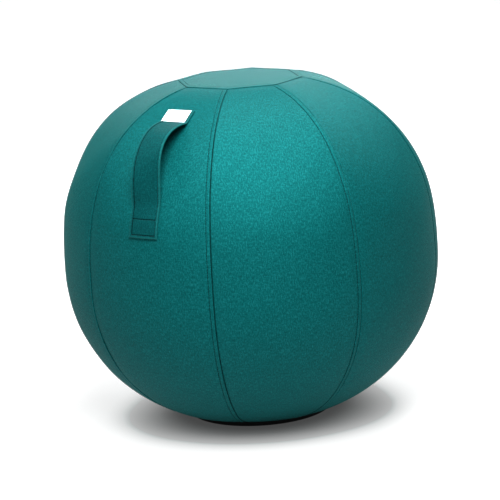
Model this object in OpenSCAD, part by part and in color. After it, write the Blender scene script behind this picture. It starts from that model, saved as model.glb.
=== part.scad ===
// Sitting ball in a sewn fabric cover that stands on a flat ring base.
// Eight panels and an octagonal cap hold an air filled inner ball. A webbing handle
// is sewn to the front panel, and a zip in a rear seam lets the inner ball in.
// Origin: middle of the base on the floor, +Z up, the handle faces -Y.

/* [Ball] */
// Diameter of the covered ball at its widest ring
ball_d = 650; // [600:1:700]
// Radius of the arc that the seams follow below the widest ring
low_arc_r = 275; // [265:0.5:290]
// Height of the crown curve above the widest ring, on the ball's axis
crown_h = 324; // [290:1:350]
// Fullness of the crown curve, where 2 is an ellipse
crown_full = 2.55; // [2.3:0.05:2.7]
// Radius at which the cover leaves its arc to meet the base
foot_r = 149.5; // [142:0.5:156]
// Height of that place above the floor
foot_z = 15.8; // [14:0.1:20]

/* [Cover] */
// Size of the octagonal top cap across its corners
cap_d = 219.6; // [180:0.1:250]
// Rise of the cap's middle above its edge
cap_crown = 3; // [1:0.5:6]
// Thickness of the lined fabric
cover_t = 3; // [2.6:0.1:3.6]
// Depth of the groove that each seam pulls in
seam_dip = 1.4; // [0.8:0.1:1.8]
// Distance from a seam to where its groove ends
seam_reach = 8; // [6:0.5:12]
// Height above the widest ring where the panels stop being flat across
round_from = 95; // [40:1:140]

/* [Base] */
// Diameter of the stiff hoop, measured to the middle of its rod
hoop_d = 240; // [216:1:246]
// Thickness of the hoop's rod
hoop_rod = 8; // [6:0.5:9]
// Wall of the sleeve that covers the hoop
sleeve_wall = 2.2; // [1.6:0.1:2.4]
// Room between the hoop and its sleeve
sleeve_room = 0.3; // [0.25:0.05:0.5]
// Thickness of the non-slip base panel
base_t = 2; // [1.5:0.1:2.4]

/* [Handle] */
// Width of the webbing
strap_w = 55; // [46:1:60]
// Thickness of the folded webbing
strap_t = 2.4; // [1.8:0.1:3]
// Distance down the panel from the cap seam to the webbing's upper end
strap_top = 80; // [70:1:90]
// Length of webbing that the label holds flat
hold_len = 28; // [24:1:32]
// Length along the panel that the loose webbing spans
span_len = 163; // [150:1:180]
// Length of the sewn lower end with its stitched box
box_len = 44; // [36:1:52]
// Highest rise of the loose webbing off the panel
strap_rise = 30; // [24:0.5:34]
// Width of the blank label, which is flush with the webbing's left edge
label_w = 50; // [40:1:52]
// Height of the blank label
label_h = 29; // [26:1:32]
// Thickness of the blank label
label_t = 0.8; // [0.5:0.1:1.2]

/* [Zip] */
// Distance down the seam from the widest ring to the top of the zip
zip_drop = 26; // [20:1:40]
// Length of the row of teeth
zip_len = 224; // [180:1:228]
// Distance between the teeth of one row
tooth_pitch = 3.4; // [3:0.1:4]
// Thickness of the teeth
tooth_h = 2.2; // [2:0.1:2.4]
// Reach of a tooth from the tape
tooth_len = 2.2; // [2:0.1:2.4]
// Half of the slot between the two rows
tooth_slot = 0.9; // [0.8:0.05:1]
// Width of each tape beside its teeth
tape_w = 9.5; // [8:0.1:10]
// Thickness of the tape
tape_t = 0.6; // [0.4:0.1:0.6]
// Distance from the zip's middle to the folded edge of a panel
zip_edge = 7.6; // [7.2:0.1:8.5]
// Thickness of a panel's skived edge along the zip
edge_t = 1.4; // [1.2:0.1:1.5]
// Length of the slider's body
slider_len = 12.4; // [11:0.1:14]
// Length of the pull tab's plate
pull_len = 20; // [16:1:24]
// Width of the pull tab
pull_w = 8; // [7:0.5:9]

/* [Inner ball] */
// Wall of the inner ball
ball_wall = 1; // [0.8:0.1:1.2]
// Room between the inner ball and the cover above the widest ring
room_top = 0.8; // [0.7:0.05:0.9]
// Room between the inner ball and the cover below it, where the zip lies
room_low = 2; // [1.9:0.1:2.2]
// Diameter of the valve's seat
valve_d = 24; // [20:0.5:28]
// Diameter of the hole for the valve's plug
valve_bore = 7; // [6:0.5:9]

/* [Hidden] */

gore_count = 8;
gore_half = 180 / gore_count;
handle_az = -90;
zip_az = handle_az + 4.5 * 2 * gore_half;
ball_r = ball_d / 2;
cap_r = cap_d / 2;
hoop_r = hoop_d / 2;

// The seams' curve: a crown above the widest ring, an arc below it, and a tuck to the base
arc_c = ball_r - low_arc_r;
foot_a = acos((foot_r - arc_c) / low_arc_r);
girth_z = foot_z + low_arc_r * sin(foot_a);
function crown(t) = [ball_r * pow(sin(t), 2 / crown_full),
    girth_z + crown_h * pow(cos(t), 2 / crown_full)];
function low_arc(a) = [arc_c + low_arc_r * cos(a), girth_z - low_arc_r * sin(a)];
cap_t = asin(pow(cap_r / ball_r, crown_full / 2));
cap_z = crown(cap_t)[1];
// Share of a groove's reach at which its steep inner slope ends
groove_knee = 0.4;
// Change of the crown's angle over one seam groove, next to the cap
groove_t = seam_reach / norm(crown(cap_t + 1) - crown(cap_t));
crown_steps = 8;
first_t = cap_t + groove_t;

// Angles below the widest ring at which the zip's teeth start and end
deg_per_mm = 180 / PI / low_arc_r;
zip_a0 = zip_drop * deg_per_mm;
zip_a1 = zip_a0 + zip_len * deg_per_mm;
zip_vent = 2;
zip_steps = 8;

// The hoop and its sleeve
sleeve_r = hoop_rod / 2 + sleeve_room + sleeve_wall;
seat_gap = 0.3;
tuck_a = 50;
tuck_end = [hoop_r, sleeve_r] + (sleeve_r + seat_gap) * [cos(tuck_a), sin(tuck_a)];

spine = concat(
    [crown(cap_t), crown(cap_t + groove_t * groove_knee)],
    [for (k = [0 : crown_steps - 1]) crown(first_t + (90 - first_t) * k / crown_steps)],
    [low_arc(0), low_arc(zip_a0 - zip_vent)],
    [for (k = [0 : zip_steps]) low_arc(zip_a0 + (zip_a1 - zip_a0) * k / zip_steps)],
    [low_arc(zip_a1 + zip_vent), low_arc((zip_a1 + zip_vent + foot_a) / 2), [foot_r, foot_z]],
    [([foot_r, foot_z] + tuck_end) / 2, tuck_end]);
rows = len(spine);

// Outward normals of a curve that runs from the top of the ball down
function unit(v) = v / norm(v);
function normals(curve) = [for (i = [0 : len(curve) - 1])
    let (d = curve[min(i + 1, len(curve) - 1)] - curve[max(i - 1, 0)]) unit([-d[1], d[0]])];
spine_n = [for (i = [0 : rows - 1]) i == 0 ? [0, 1] : normals(spine)[i]];

// How flat a panel is across: 1 at the cap and 0 from round_from down
function ease(x) = let (c = min(max(x, 0), 1)) c * c * (3 - 2 * c);
function flatness(z) = ease((z - girth_z - round_from) / (cap_z - girth_z - round_from));
// Radius at an angle from the panel's middle, between an arc and a straight chord
function across(r, z, a) = r * (1 + flatness(z) * (cos(gore_half) / cos(a) - 1));

// How far the zip holds a panel's edge open at a height: a ramp at each end
function vent(z) = let (a = asin(min(max((girth_z - z) / low_arc_r, -1), 1)))
    z > girth_z || z < foot_z ? 0 :
    min(max(min(a - zip_a0 + zip_vent, zip_a1 + zip_vent - a) / zip_vent, 0), 1);

// Columns of a panel: distances from its edge near the seams, even steps between
near = [0, seam_reach * groove_knee, seam_reach];
dip_share = [1, 0.4, 0];
inner_steps = 6;
cols = 2 * len(near) + inner_steps - 1;
function from_edge(j) = min(j, cols - 1 - j);
function edge_angle(i, open, d) = gore_half - (zip_edge * open + d) / spine[i][0] * 180 / PI;
function col_angle(i, j, left_open, right_open) =
    j < len(near) ? -edge_angle(i, left_open, near[j]) :
    j > cols - 1 - len(near) ? edge_angle(i, right_open, near[cols - 1 - j]) :
    let (a0 = -edge_angle(i, left_open, seam_reach), a1 = edge_angle(i, right_open, seam_reach))
    a0 + (a1 - a0) * (j - len(near) + 1) / inner_steps;
function groove(i, j, open) = seam_dip *
    max(from_edge(j) < len(near) ? dip_share[from_edge(j)] * (1 - open) : 0,
        i < len(near) ? dip_share[i] : 0);
function skive(j, open) = from_edge(j) < len(near) ? open * (cover_t - edge_t) : 0;

// A point of a panel, below the smooth surface by the groove or by the fabric's thickness
function gore_point(i, j, has_left, has_right, under) =
    let (lo = has_left ? vent(spine[i][1]) : 0, ro = has_right ? vent(spine[i][1]) : 0)
    let (a = col_angle(i, j, lo, ro), open = j < cols / 2 ? lo : ro)
    let (deep = under ? cover_t - skive(j, open) : groove(i, j, open))
    let (r = across(spine[i][0], spine[i][1], a) - spine_n[i][0] * deep)
    [r * cos(a), r * sin(a), spine[i][1] - spine_n[i][1] * deep];
function gore_grid(has_left, has_right, under) = [for (i = [0 : rows - 1])
    [for (j = [0 : cols - 1]) gore_point(i, j, has_left, has_right, under)]];

// A closed solid between an outer grid of points and the grid below it
module layer(outer, under) {
    n = len(outer);
    m = len(outer[0]);
    function top(i, j) = i * m + j;
    function low(i, j) = n * m + i * m + j;
    function quad(a, b, c, d) = [[a, b, c], [a, c, d]];
    polyhedron(
        points = concat([for (row = outer) each row], [for (row = under) each row]),
        faces = concat(
            [for (i = [0 : n - 2], j = [0 : m - 2])
                each quad(top(i, j), top(i + 1, j), top(i + 1, j + 1), top(i, j + 1))],
            [for (i = [0 : n - 2], j = [0 : m - 2])
                each quad(low(i, j), low(i, j + 1), low(i + 1, j + 1), low(i + 1, j))],
            [for (i = [0 : n - 2]) each quad(top(i, 0), low(i, 0), low(i + 1, 0), top(i + 1, 0))],
            [for (i = [0 : n - 2])
                each quad(top(i, m - 1), top(i + 1, m - 1), low(i + 1, m - 1), low(i, m - 1))],
            [for (j = [0 : m - 2]) each quad(top(0, j), top(0, j + 1), low(0, j + 1), low(0, j))],
            [for (j = [0 : m - 2])
                each quad(top(n - 1, j), low(n - 1, j), low(n - 1, j + 1), top(n - 1, j + 1))]));
}

// One sewn panel; k counts from the handle's panel towards the ball's right
module gore(k) {
    az = handle_az + (k - 1) * 2 * gore_half;
    zip_on_left = abs(az - gore_half - zip_az) < 1;
    zip_on_right = abs(az + gore_half - zip_az) < 1;
    color([0.04, 0.42, 0.41])
        rotate([0, 0, az])
        layer(gore_grid(zip_on_left, zip_on_right, false), gore_grid(zip_on_left, zip_on_right, true));
}

// The octagonal cap, domed a little, with its sewn edge pulled in as the panels' are
cap_sides = 3;
cap_inset = [0, seam_reach * groove_knee, seam_reach, cap_r * 0.4, cap_r * 0.7];
function cap_height(f) = cap_z + cap_crown * (1 - f * f);
function cap_rim(a) = cap_r * cos(gore_half) / cos(a);
function cap_ring(k, under) = [for (s = [0 : gore_count * cap_sides - 1])
    let (a = (s % cap_sides) * 2 * gore_half / cap_sides - gore_half, f = 1 - cap_inset[k] / cap_r)
    let (b = handle_az + floor(s / cap_sides) * 2 * gore_half + a, r = cap_rim(a) * f)
    [r * cos(b), r * sin(b), cap_height(f) - (under ? cover_t : k < 3 ? seam_dip * dip_share[k] : 0)]];

module top_cap() {
    m = gore_count * cap_sides;
    n = len(cap_inset);
    rings = concat([for (k = [0 : n - 1]) each cap_ring(k, false)],
        [for (k = [0 : n - 1]) each cap_ring(k, true)]);
    peak = [[0, 0, cap_height(0)], [0, 0, cap_height(0) - cover_t]];
    function at(side, k, s) = (side * n + k) * m + s % m;
    color([0.30, 0.62, 0.60])
        polyhedron(
            points = concat(rings, peak),
            faces = concat(
                [for (k = [0 : n - 2], s = [0 : m - 1])
                    each [[at(0, k, s), at(0, k + 1, s), at(0, k + 1, s + 1)],
                        [at(0, k, s), at(0, k + 1, s + 1), at(0, k, s + 1)]]],
                [for (k = [0 : n - 2], s = [0 : m - 1])
                    each [[at(1, k, s), at(1, k + 1, s + 1), at(1, k + 1, s)],
                        [at(1, k, s), at(1, k, s + 1), at(1, k + 1, s + 1)]]],
                [for (s = [0 : m - 1]) [at(0, n - 1, s), 2 * n * m, at(0, n - 1, s + 1)]],
                [for (s = [0 : m - 1]) [at(1, n - 1, s), at(1, n - 1, s + 1), 2 * n * m + 1]],
                [for (s = [0 : m - 1])
                    each [[at(0, 0, s), at(0, 0, s + 1), at(1, 0, s + 1)],
                        [at(0, 0, s), at(1, 0, s + 1), at(1, 0, s)]]]));
}

// Base: a non-slip disc inside a sleeved hoop that stops the ball from rolling
base_r = hoop_r - sqrt(sleeve_r * sleeve_r - pow(sleeve_r - base_t, 2)) - seat_gap;

module base_panel() {
    color([0.10, 0.11, 0.12])
        cylinder(r = base_r, h = base_t, $fn = 96);
}

module hoop_sleeve() {
    color([0.12, 0.13, 0.14])
        rotate_extrude($fn = 96)
        translate([hoop_r, sleeve_r])
        difference() {
            circle(r = sleeve_r, $fn = 48);
            circle(r = sleeve_r - sleeve_wall, $fn = 48);
        }
}

module base_hoop() {
    color([0.45, 0.46, 0.48])
        rotate_extrude($fn = 96)
        translate([hoop_r, sleeve_r])
        circle(d = hoop_rod, $fn = 48);
}

// The middle line of the handle's panel, by distance from the cap seam
mid_steps = 90;
mid = [for (k = [0 : mid_steps])
    let (p = crown(cap_t + (90 - cap_t) * k / mid_steps)) [across(p[0], p[1], 0), p[1]]];
mid_run = [for (k = 0, s = 0; k <= mid_steps; s = s + (k < mid_steps ? norm(mid[k + 1] - mid[k]) : 0),
    k = k + 1) s];
mid_r = [for (k = [0 : mid_steps]) [mid_run[k], mid[k][0]]];
mid_z = [for (k = [0 : mid_steps]) [mid_run[k], mid[k][1]]];
function mid_at(s) = [lookup(s, mid_r), lookup(s, mid_z)];
function off_mid(s, h) = let (d = mid_at(s + tangent_step) - mid_at(s - tangent_step))
    mid_at(s) + h * unit([-d[1], d[0]]);

// Rise of the loose webbing: steep under the label, then easing to the stitched box. The two
// exponents shape its start and its finish.
span_top = strap_top + hold_len;
span_end = span_top + span_len;
strap_end = span_end + box_len;
bow_start = 1.2;
bow_finish = 1.7;
bow_top = bow_start / (bow_start + bow_finish);
function bow(u) = strap_rise * pow(u / bow_top, bow_start)
    * pow((1 - u) / (1 - bow_top), bow_finish);
function rise(s) = s <= span_top || s >= span_end ? 0 : bow((s - span_top) / span_len);
strap_step = 4;
tangent_step = 2;
// A strip that lies on the panel or above it, from s0 to s1, in the panel's middle plane
module strip(s0, s1, h, t) {
    n = ceil((s1 - s0) / strap_step);
    stops = [for (k = [0 : n]) s0 + (s1 - s0) * k / n];
    polygon(concat([for (s = stops) off_mid(s, h + rise(s))],
        [for (k = [n : -1 : 0]) off_mid(stops[k], h + rise(stops[k]) + t)]));
}
module upright(az, wide, left = 0) {
    rotate([90, 0, az])
        translate([0, 0, left])
        linear_extrude(height = wide, center = true)
        children();
}

// The loose webbing turns about the line through its two sewn ends
swing_top = off_mid(span_top, 0);
swing_end = off_mid(span_end, 0);
swing_dir = unit(swing_end - swing_top);
free_from = 9;
free_to = 133;
free_gap = 0.6;
half_plane = 2 * span_len;
// The part of the strip between two distances along the swing line
module between(d0, d1) {
    intersection() {
        children();
        translate(swing_top)
            rotate(atan2(swing_dir[1], swing_dir[0]))
            translate([d0, -half_plane])
            square([d1 - d0, 2 * half_plane]);
    }
}

module strap_top_end() {
    color([0.05, 0.36, 0.36])
        upright(handle_az, strap_w)
        between(-half_plane, free_from - free_gap)
        strip(strap_top, span_end, seat_gap, strap_t);
}

module handle_strap() {
    color([0.05, 0.36, 0.36])
        upright(handle_az, strap_w)
        between(free_from, free_to)
        strip(span_top, span_end, seat_gap, strap_t);
}

module strap_low_end() {
    color([0.05, 0.36, 0.36])
        upright(handle_az, strap_w)
        between(free_to + free_gap, free_to + half_plane)
        strip(span_top, strap_end, seat_gap, strap_t);
}

label_over = 1;
module label() {
    label_top = strap_top - label_over;
    color([0.93, 0.94, 0.94])
        upright(handle_az, label_w, (strap_w - label_w) / 2)
        strip(label_top, label_top + label_h, 2 * seat_gap + strap_t, label_t);
}

// Zip: everything here is placed about the axis of the seam's lower arc. The panels are flat
// between their points, so the tape lies a little deeper than their edges.
tape_depth = 0.9;
tape_top = low_arc_r - edge_t - tape_depth;
zip_mid = tape_top - tape_t / 2;
tape_x = tooth_slot + tooth_len;
tape_end = 0.4;
module zip_frame(a) {
    rotate([0, 0, zip_az])
        translate([arc_c, 0, girth_z])
        rotate([90, 0, 0])
        rotate([0, 0, -a])
        children();
}
module tape(side) {
    x0 = side > 0 ? tape_x : -tape_x - tape_w;
    color([0.05, 0.30, 0.30])
        zip_frame(zip_a1 + tape_end)
        rotate_extrude(angle = zip_a1 - zip_a0 + 2 * tape_end, $fn = 360)
        translate([tape_top - tape_t, x0])
        square([tape_t, tape_w]);
}

// A moulded tooth: a narrow neck at the tape and a wider head towards the other row
neck_w = 1.1;
head_w = 1.9;
head_chamfer = 0.3;
head_end = tooth_len * 0.35;
neck_end = tooth_len * 0.5;
module tooth() {
    side = [[head_chamfer, head_w / 2], [head_end, head_w / 2], [neck_end, neck_w / 2],
        [tooth_len, neck_w / 2]];
    linear_extrude(height = tooth_h, center = true)
        polygon(concat([[0, neck_w / 2]], side,
            [for (k = [len(side) - 1 : -1 : 0]) [side[k][0], -side[k][1]]], [[0, -neck_w / 2]]));
}
stop_len = 3;
row_gap = 1;
row_len = zip_len - 2 * (stop_len + row_gap);
tooth_count = floor(row_len / tooth_pitch);
row_a0 = zip_a0 + (stop_len + row_gap) * deg_per_mm;
module on_zip(a, x) {
    zip_frame(a)
        translate([zip_mid, 0, x])
        children();
}
module tooth_row(side) {
    for (k = [0 : tooth_count - 1]) {
        a = row_a0 + (k + (side > 0 ? 0.5 : 0.25)) * tooth_pitch * deg_per_mm;
        on_zip(a, side * tooth_slot)
            rotate([0, side > 0 ? -90 : 90, 0])
            tooth();
    }
}

module zip_top_stops() {
    color([0.06, 0.06, 0.06])
        for (side = [-1, 1])
            on_zip(zip_a0 + stop_len / 2 * deg_per_mm, side * (tooth_slot + tooth_len / 2))
                cube([tooth_h, stop_len, tooth_len], center = true);
}
module zip_bottom_stop() {
    color([0.06, 0.06, 0.06])
        on_zip(zip_a1 - stop_len / 2 * deg_per_mm, 0)
        cube([tooth_h, stop_len, 2 * tape_x], center = true);
}

// Slider: two wings round the teeth, joined by a post, with a bail for the pull tab
wing_room = 0.25;
wing_t = 0.8;
rim_t = 1.2;
cave_h = tooth_h + 2 * wing_room;
cave_w = tape_x + wing_room;
nose_w = cave_w + rim_t;
tape_slot = tape_t + 2 * wing_room;
stop_gap = 0.5;
slider_a = zip_a0 + (stop_len + stop_gap + slider_len / 2) * deg_per_mm;
post_len = 3.2;
post_room = 0.3;
post_w = 2 * (tooth_slot - post_room);
shoulder = 2;
bail_w = 2.6;
bail_len = 9.2;
bail_post = 1.5;
bail_open = 2.8;
bail_t = 1;
wing_top = cave_h / 2 + wing_t;
module shield(half, long) {
    polygon([[-long / 2, -half * 0.92], [long / 2 - shoulder, -half], [long / 2, -half * 0.8],
        [long / 2, half * 0.8], [long / 2 - shoulder, half], [-long / 2, half * 0.92]]);
}
// Plates are drawn along the zip and across it, and stand on the zip's normal
module stood(from, tall) {
    translate([from, 0, 0])
        rotate([0, 90, 0])
        rotate([0, 0, 90])
        linear_extrude(height = tall)
        children();
}
module zip_slider() {
    color([0.62, 0.63, 0.65])
        on_zip(slider_a, 0) {
            difference() {
                stood(-wing_top, 2 * wing_top)
                    shield(nose_w, slider_len);
                difference() {
                    cube([cave_h, slider_len + 2, 2 * cave_w], center = true);
                    translate([0, slider_len / 2 - post_len, 0])
                        cube([cave_h + 1, post_len, post_w], center = true);
                }
                for (side = [-1, 1])
                    translate([0, 0, side * (cave_w + rim_t)])
                        cube([tape_slot, slider_len + 2, 2 * rim_t + 1], center = true);
            }
            for (side = [-1, 1])
                translate([wing_top + bail_open / 2, side * (bail_len - bail_post) / 2, 0])
                    cube([bail_open, bail_post, bail_w], center = true);
            translate([wing_top + bail_open + bail_t / 2, 0, 0])
                cube([bail_t, bail_len, bail_w], center = true);
        }
}

// Pull tab: a bar through the bail, two arms past it, and a plate with a slot
bar_d = 1.8;
bar_up = wing_top + bail_open / 2;
bar_room = 0.5;
bar_back = bail_len / 2 - bail_post - bar_d / 2 - bar_room;
arm_w = 1.4;
arm_in = bail_w / 2 + 0.3;
arm_len = bar_back + bail_len / 2 + arm_w / 2;
slot_d = 4;
slot_in = 5;
module zip_pull() {
    color([0.62, 0.63, 0.65])
        on_zip(slider_a, 0)
        translate([bar_up, -bar_back, 0])
        rotate([0, 0, slider_a]) {
            cylinder(d = bar_d, h = 2 * (arm_in + arm_w), center = true, $fn = 24);
            for (side = [-1, 1])
                translate([0, -arm_len / 2, side * (arm_in + arm_w / 2)])
                    cube([arm_w, arm_len, arm_w], center = true);
            difference() {
                translate([0, -arm_len - pull_len / 2, 0])
                    cube([arm_w, pull_len, pull_w], center = true);
                translate([0, -arm_len - pull_len + slot_in, 0])
                    rotate([0, 90, 0])
                    cylinder(d = slot_d, h = 2 * arm_w, center = true, $fn = 32);
            }
        }
}

// Inner ball: a hollow skin that follows the cover's inside and lies flat on the base,
// out to flat_r there and out to a share of the cap's radius at the top
flat_r = 62;
top_flat = 0.6;
bulge_steps = 4;
over_hoop = 2 * sleeve_r + seat_gap + cover_t + room_low;
function inside(i) = let (deep = cover_t + (spine[i][1] > girth_z ? room_top : room_low))
    [across(spine[i][0], spine[i][1], 0) - spine_n[i][0] * deep, spine[i][1] - spine_n[i][1] * deep];
skin = concat(
    [[0, cap_z - cover_t - room_top], [cap_r * top_flat, cap_z - cover_t - room_top]],
    [for (i = [2 : rows - 3]) inside(i)],
    [for (k = [bulge_steps : -1 : 0])
        let (f = k / bulge_steps)
        [flat_r + (hoop_r - flat_r) * f, base_t + seat_gap + (over_hoop - base_t) * f * f]],
    [[0, base_t + seat_gap]]);
skin_n = [for (i = [0 : len(skin) - 1]) i == 0 ? [0, 1] : i == len(skin) - 1 ? [0, -1] : normals(skin)[i]];

// The valve sits in the skin beside the zip, square to the arc
valve_a = 34;
valve_az = zip_az + 9;
flange_t = 1.2;
flange_over = 5;
neck_len = 14;
neck_wall = 3;
head_d = 2 * valve_bore;
head_t = 1;
head_edge = 0.5;
shank_gap = 0.1;
shank_tip = 2;
skin_r = low_arc_r - cover_t - room_low;
module at_valve() {
    rotate([0, 0, valve_az])
        translate([arc_c, 0, girth_z])
        rotate([0, 90 + valve_a, 0])
        translate([0, 0, skin_r])
        children();
}
module inner_ball() {
    color([0.55, 0.57, 0.60])
        difference() {
            rotate_extrude($fn = 96)
                polygon(concat(skin,
                    [for (i = [len(skin) - 1 : -1 : 0]) skin[i] - ball_wall * skin_n[i]]));
            at_valve()
                cylinder(d = valve_d + 2 * seat_gap, h = valve_d, center = true, $fn = 48);
        }
}
module valve_seat() {
    sag = pow(valve_d / 2 + flange_over, 2) / 2 / skin_r;
    flange_top = -ball_wall - sag - seat_gap;
    color([0.85, 0.85, 0.83])
        at_valve()
        difference() {
            union() {
                translate([0, 0, flange_top - flange_t])
                    cylinder(d = valve_d, h = flange_t - flange_top, $fn = 48);
                translate([0, 0, flange_top - flange_t])
                    cylinder(d = valve_d + 2 * flange_over, h = flange_t, $fn = 48);
                translate([0, 0, -neck_len])
                    cylinder(d = valve_bore + 2 * neck_wall, h = neck_len - 1, $fn = 48);
            }
            translate([0, 0, -head_t - seat_gap])
                cylinder(d = head_d + 2 * seat_gap, h = neck_len, $fn = 48);
            cylinder(d = valve_bore, h = 3 * neck_len, center = true, $fn = 48);
        }
}
module valve_plug() {
    shank_r = valve_bore / 2 - shank_gap;
    color([0.95, 0.95, 0.93])
        at_valve()
        rotate_extrude($fn = 48)
        polygon([[0, 0], [head_d / 2 - head_edge, 0], [head_d / 2, -head_edge], [head_d / 2, -head_t],
            [shank_r, -head_t], [shank_r, shank_tip + 1 - neck_len],
            [shank_r - head_edge, 1 - neck_len], [0, 1 - neck_len]]);
}

gore(1);  // gore_1
gore(2);  // gore_2
gore(3);  // gore_3
gore(4);  // gore_4
gore(5);  // gore_5
gore(6);  // gore_6
gore(7);  // gore_7
gore(8);  // gore_8
top_cap();
base_panel();
hoop_sleeve();
base_hoop();
strap_top_end();
handle_strap();
strap_low_end();
label();
tape(1);  // zip_tape_left
tape(-1);  // zip_tape_right
color([0.06, 0.06, 0.06]) tooth_row(1);  // zip_teeth_left
color([0.06, 0.06, 0.06]) tooth_row(-1);  // zip_teeth_right
zip_top_stops();
zip_bottom_stop();
zip_slider();
zip_pull();
inner_ball();
valve_seat();
valve_plug();
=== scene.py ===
# %% [markdown]
# A sitting ball: an air filled ball in a sewn cover. The cover has eight panels of melange
# upholstery fabric, an octagonal cap of the same fabric, a strap handle on one panel, a zip
# at the back and a small stiff ring under it, so that the ball doesn't roll away.
# The frame gives the rigid parts at their real size. This script adds what is soft and the
# finish of every surface, step by step.

# %% The frame
import math

import bmesh
import bpy
import numpy as np
from mathutils import Matrix, Vector


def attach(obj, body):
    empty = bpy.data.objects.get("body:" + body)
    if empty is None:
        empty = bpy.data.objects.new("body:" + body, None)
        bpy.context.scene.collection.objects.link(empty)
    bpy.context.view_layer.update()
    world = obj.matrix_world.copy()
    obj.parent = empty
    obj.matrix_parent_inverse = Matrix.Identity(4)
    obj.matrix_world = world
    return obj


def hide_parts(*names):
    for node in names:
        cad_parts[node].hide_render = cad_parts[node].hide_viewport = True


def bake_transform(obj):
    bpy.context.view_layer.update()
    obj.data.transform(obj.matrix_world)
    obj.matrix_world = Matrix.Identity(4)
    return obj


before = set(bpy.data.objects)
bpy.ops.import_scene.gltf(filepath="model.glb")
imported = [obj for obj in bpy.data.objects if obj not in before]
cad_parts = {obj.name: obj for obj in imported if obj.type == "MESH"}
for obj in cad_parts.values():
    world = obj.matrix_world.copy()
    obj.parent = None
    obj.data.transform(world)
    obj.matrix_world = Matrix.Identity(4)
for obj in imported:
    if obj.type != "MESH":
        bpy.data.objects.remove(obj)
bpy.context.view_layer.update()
MM = 0.001

# %% [markdown]
# The camera comes first, because it fixes what the picture can show. It stands a long way
# off with a long lens, so that near and far parts of the ball are drawn at nearly the same
# scale, and it is turned a little about its own axis. Its place is given by the angles that
# a photographer would note: how far round the ball, how high, and how far away.

# %% Camera
GIRTH_Z = 272.168 * MM
MIDDLE = Vector((0, 0, GIRTH_Z))
CAMERA_TURN = math.radians(34.32)
CAMERA_RISE = math.radians(12.92)
CAMERA_FAR = 4.5786
CAMERA_ROLL = math.radians(-3.637)
AIM = Vector((-0.0014, -0.0010, 0.2840))
SENSOR = 36.0
LENS = 188.75


def around(turn, rise, far):
    """A place that is far away from the ball's middle, turned from -Y towards +X and raised"""
    side, up = far * math.cos(rise), far * math.sin(rise)
    return MIDDLE + Vector((side * math.sin(turn), -side * math.cos(turn), up))


def aimed(place, target, roll=0.0):
    """The matrix of a camera or light at place that looks at target"""
    ahead = (Vector(target) - Vector(place)).normalized()
    right = ahead.cross(Vector((0, 0, 1))).normalized()
    up = right.cross(ahead)
    across = math.cos(roll) * right + math.sin(roll) * up
    above = math.cos(roll) * up - math.sin(roll) * right
    turned = Matrix((across, above, -ahead)).transposed().to_4x4()
    return Matrix.Translation(place) @ turned


camera_data = bpy.data.cameras.new("camera")
camera_data.sensor_width = SENSOR
camera_data.lens = LENS
camera_data.clip_end = 100
camera = bpy.data.objects.new("camera", camera_data)
camera.matrix_world = aimed(around(CAMERA_TURN, CAMERA_RISE, CAMERA_FAR), AIM, CAMERA_ROLL)
bpy.context.scene.collection.objects.link(camera)
bpy.context.scene.camera = camera
print("camera at", [round(c, 3) for c in camera.location])

# %% [markdown]
# Every material starts from a colour that a person can read, so one function turns a hex
# code into the linear numbers that the renderer wants. One more function adds a node, sets
# it and wires it. A few short ones on top of it mix two colours, draw mottled noise and give
# a shader its colour and relief. So each material's own code is only what is special about it.

# %% Helpers for colours and nodes


def linear(code):
    """An sRGB hex colour such as "#0b6e69" as linear RGBA"""
    parts = [int(code[i:i + 2], 16) / 255 for i in (1, 3, 5)]
    return [p / 12.92 if p <= 0.04045 else ((p + 0.055) / 1.055) ** 2.4 for p in parts] + [1.0]


def brighter(code, times):
    """An sRGB hex colour, made that many times as bright, as linear RGBA"""
    return [min(part * times, 1.0) for part in linear(code)]


def add(tree, kind, inputs=None, **settings):
    """A new node. inputs maps a socket's name or number to a value or to another socket"""
    node = tree.nodes.new(kind)
    for name, value in settings.items():
        setattr(node, name, value)
    for name, value in (inputs or {}).items():
        if isinstance(value, bpy.types.NodeSocket):
            tree.links.new(value, node.inputs[name])
        else:
            node.inputs[name].default_value = value
    return node


def new_material(name, **shader):
    """A material with one Principled shader, its node tree and the shader's node"""
    made = bpy.data.materials.new(name)
    made.use_nodes = True
    tree = made.node_tree
    tree.nodes.clear()
    surface = add(tree, "ShaderNodeBsdfPrincipled", shader)
    add(tree, "ShaderNodeOutputMaterial", {"Surface": surface.outputs[0]})
    return made, tree, surface


def calc(tree, operation, *values):
    """The result of one sum on sockets or numbers"""
    return add(tree, "ShaderNodeMath", dict(enumerate(values)), operation=operation).outputs[0]


def mixed(tree, share, low, high):
    """A colour that goes from low to high as the share goes from 0 to 1"""
    return add(tree, "ShaderNodeMix", {"Factor": share, 6: low, 7: high}, data_type="RGBA").outputs[2]


def coat(tree, surface, colour, height, strength, deep):
    """Gives a shader its colour, and a relief that is deep in metres"""
    tree.links.new(colour, surface.inputs["Base Color"])
    bump = add(tree, "ShaderNodeBump", {"Height": height, "Strength": strength, "Distance": deep})
    tree.links.new(bump.outputs[0], surface.inputs["Normal"])


def cloth_mm(tree):
    """Distances across and along the cloth, in millimetres, from its own UV map"""
    flat = add(tree, "ShaderNodeUVMap", uv_map="cloth").outputs[0]
    split = add(tree, "ShaderNodeSeparateXYZ", {0: flat})
    return [calc(tree, "MULTIPLY", split.outputs[i], 1000.0) for i in (0, 1)]


def mottle(tree, u, v, wide, long, detail=2.0, rough=0.5, at=0.0):
    """Noise whose flecks are wide by long, in the units of u and v; at picks another pattern"""
    place = add(tree, "ShaderNodeCombineXYZ", {
        0: calc(tree, "DIVIDE", u, wide), 1: calc(tree, "DIVIDE", v, long), 2: at})
    return add(tree, "ShaderNodeTexNoise", {
        "Vector": place.outputs[0], "Scale": 1.0, "Detail": detail, "Roughness": rough}).outputs[0]


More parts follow.
